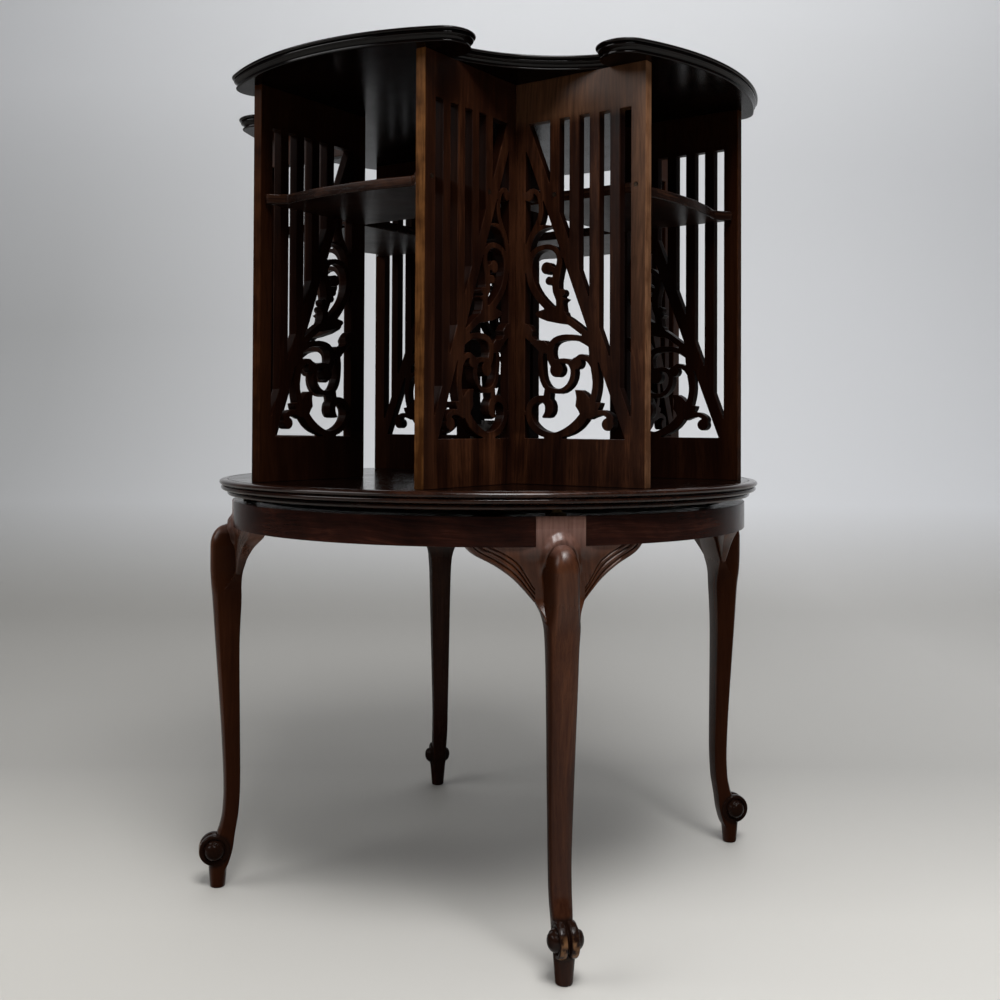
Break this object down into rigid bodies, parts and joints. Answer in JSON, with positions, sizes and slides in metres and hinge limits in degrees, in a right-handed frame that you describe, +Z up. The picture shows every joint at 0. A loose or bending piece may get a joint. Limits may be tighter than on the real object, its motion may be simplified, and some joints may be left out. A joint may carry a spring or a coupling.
{
  "type": "revolving bookcase",
  "caption": "Low revolving bookcase on cabriole legs: a moulded disc turns on a central spindle and carries fretwork walls, open book bays in a cross, serpentine shelves and a lobed top.",
  "frame": {"origin": "on the floor under the spindle, at the centre of the four feet", "axes": "+Z up along the spindle; the book bays face -Y (front), +X (right), +Y (back) and -X (left)"},
  "size_m": [0.56, 0.56, 0.8],
  "materials": {
    "case_wood": "dark mahogany, french polished",
    "leg_wood": "dark red mahogany, french polished",
    "inner_wood": "plain stained wood",
    "dowel_wood": "bare beech",
    "iron": "blackened iron",
    "brass": "aged brass"
  },
  "bodies": {
    "stand": {"leg_front_right": "leg_wood", "leg_back_right": "leg_wood", "leg_back_left": "leg_wood", "leg_front_left": "leg_wood", "ears_front_right": "leg_wood", "ears_back_right": "leg_wood", "ears_back_left": "leg_wood", "ears_front_left": "leg_wood", "apron_right": "case_wood", "apron_back": "case_wood", "apron_left": "case_wood", "apron_front": "case_wood", "cross_rail_lower": "inner_wood", "cross_rail_upper": "inner_wood", "stand_board": "inner_wood", "pivot_plate": "iron", "pivot_plate_screws": "iron", "spindle": "iron", "thrust_ring": "brass", "upper_washer": "iron", "upper_nut": "iron", "lower_washer": "iron", "lower_nut": "iron", "roller_housings": "brass", "roller_pins": "iron"},
    "case": {"base_disc": "case_wood", "lower_bush": "brass", "hub_block": "inner_wood", "upper_bush": "brass", "hub_screws": "iron", "panel_front_left": "case_wood", "panel_front_right": "case_wood", "panel_right_front": "case_wood", "panel_right_back": "case_wood", "panel_back_right": "case_wood", "panel_back_left": "case_wood", "panel_left_back": "case_wood", "panel_left_front": "case_wood", "panel_foot_dowels": "dowel_wood", "panel_top_dowels": "dowel_wood", "shelf_front": "case_wood", "shelf_right": "case_wood", "shelf_back": "case_wood", "shelf_left": "case_wood", "shelf_nails": "iron", "top_board": "case_wood"},
    "roller_front_right": {"roller_front_right": "brass"},
    "roller_back_right": {"roller_back_right": "brass"},
    "roller_back_left": {"roller_back_left": "brass"},
    "roller_front_left": {"roller_front_left": "brass"}
  },
  "joints": [
    {"name": "case_turn", "type": "hinge", "parent": "stand", "child": "case", "pos_m": [0, 0, 0.4], "axis": [0, 0, 1], "continuous": true},
    {"name": "roller_front_right_spin", "type": "hinge", "parent": "stand", "child": "roller_front_right", "pos_m": [0.1866, -0.16336, 0.3867], "axis": [0.7524, -0.6587, 0], "continuous": true},
    {"name": "roller_back_right_spin", "type": "hinge", "parent": "stand", "child": "roller_back_right", "pos_m": [0.16336, 0.1866, 0.3867], "axis": [0.6587, 0.7524, 0], "continuous": true},
    {"name": "roller_back_left_spin", "type": "hinge", "parent": "stand", "child": "roller_back_left", "pos_m": [-0.1866, 0.16336, 0.3867], "axis": [-0.7524, 0.6587, 0], "continuous": true},
    {"name": "roller_front_left_spin", "type": "hinge", "parent": "stand", "child": "roller_front_left", "pos_m": [-0.16336, -0.1866, 0.3867], "axis": [-0.6587, -0.7524, 0], "continuous": true}
  ],
  "couplings": [
    {"joint": "roller_front_right_spin", "follows": "case_turn", "ratio": -41.333},
    {"joint": "roller_back_right_spin", "follows": "case_turn", "ratio": -41.333},
    {"joint": "roller_back_left_spin", "follows": "case_turn", "ratio": -41.333},
    {"joint": "roller_front_left_spin", "follows": "case_turn", "ratio": -41.333}
  ]
}
